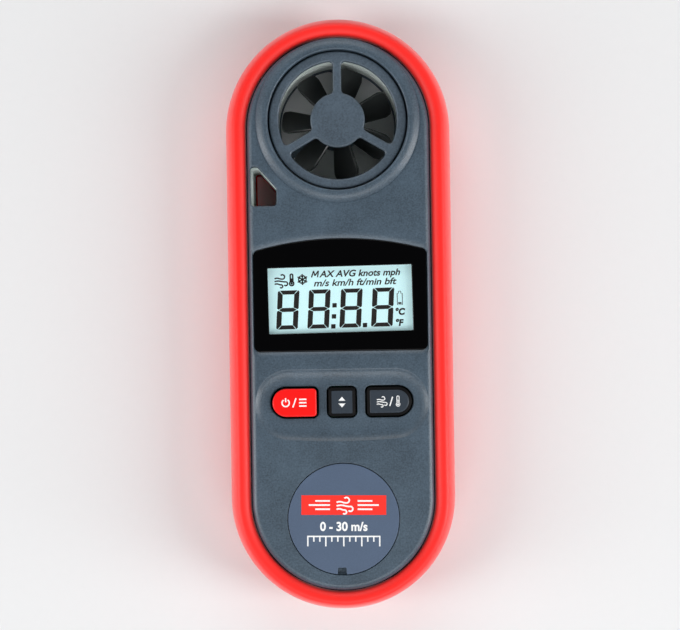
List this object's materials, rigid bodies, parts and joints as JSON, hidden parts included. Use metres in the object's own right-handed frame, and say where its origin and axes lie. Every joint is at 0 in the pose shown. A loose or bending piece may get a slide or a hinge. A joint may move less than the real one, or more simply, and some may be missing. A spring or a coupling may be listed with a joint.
{
  "type": "handheld weather meter",
  "caption": "Pocket vane anemometer: a pill-shaped case in a soft bumper, a spinning impeller behind a spoked grille, a display, a row of keys and a coin-cell door.",
  "frame": {"origin": "middle of the flat back, which is the bottom of the object as it lies face up", "axes": "+Y up the case towards the impeller, +Z out of the front face, +X to the right as the face is read"},
  "size_m": [0.0494, 0.13, 0.02],
  "materials": {
    "red_rubber": "matt",
    "charcoal_abs": "fine texture",
    "grille_abs": "fine texture",
    "pale_abs": "satin",
    "rotor_black": "satin",
    "steel": "satin",
    "ferrite": "matt",
    "brass": "satin",
    "lens_acrylic": "gloss",
    "lcd_glass": "gloss",
    "white_film": "matt",
    "zebra_rubber": "matt",
    "power_red": "satin",
    "key_black": "satin",
    "nameplate_film": "satin",
    "green_laminate": "satin"
  },
  "bodies": {
    "case": {"rim_bumper": "red_rubber", "front_shell": "charcoal_abs", "rear_shell": "charcoal_abs", "front_grille": "grille_abs", "rear_grille": "grille_abs", "vane_duct_front": "pale_abs", "vane_duct_rear": "pale_abs", "front_bush": "brass", "rear_bush": "brass", "display_lens": "lens_acrylic", "lcd_glass": "lcd_glass", "lcd_reflector": "white_film", "lcd_frame": "rotor_black", "zebra_strip_upper": "zebra_rubber", "zebra_strip_lower": "zebra_rubber", "power_switch": "steel", "unit_switch": "steel", "mode_switch": "steel", "nameplate": "nameplate_film", "coin_cell": "steel", "cell_holder": "rotor_black", "cell_contact_positive": "brass", "cell_contact_negative": "brass", "main_board": "green_laminate", "controller_chip": "rotor_black", "clock_crystal": "steel", "hall_sensor": "rotor_black", "air_thermistor": "rotor_black", "thermistor_lead": "steel", "case_screw_1": "steel", "case_screw_2": "steel", "case_screw_3": "steel", "case_screw_4": "steel", "board_screw_1": "steel", "board_screw_2": "steel", "board_screw_3": "steel"},
    "rotor": {"impeller": "rotor_black", "impeller_shaft": "steel", "rotor_magnet": "ferrite"},
    "power_key": {"power_button": "power_red", "power_plunger": "white_film"},
    "unit_key": {"unit_button": "key_black", "unit_plunger": "white_film"},
    "mode_key": {"mode_button": "key_black", "mode_plunger": "white_film"},
    "cell_door": {"battery_door": "charcoal_abs"}
  },
  "joints": [
    {"name": "impeller_spin", "type": "hinge", "parent": "case", "child": "rotor", "pos_m": [0, 0.0421, 0.01], "axis": [0, 0, 1], "continuous": true},
    {"name": "power_button_press", "type": "slide", "parent": "case", "child": "power_key", "axis": [0, 0, -1], "range_m": [0, 0.0006], "stiffness_N_per_m": 400, "springref_m": -0.001},
    {"name": "unit_button_press", "type": "slide", "parent": "case", "child": "unit_key", "axis": [0, 0, -1], "range_m": [0, 0.0006], "stiffness_N_per_m": 400, "springref_m": -0.001},
    {"name": "mode_button_press", "type": "slide", "parent": "case", "child": "mode_key", "axis": [0, 0, -1], "range_m": [0, 0.0006], "stiffness_N_per_m": 400, "springref_m": -0.001},
    {"name": "battery_door_twist", "type": "hinge", "parent": "case", "child": "cell_door", "pos_m": [0, -0.04, 0.001], "axis": [0, 0, -1], "range_deg": [0, 45]}
  ]
}
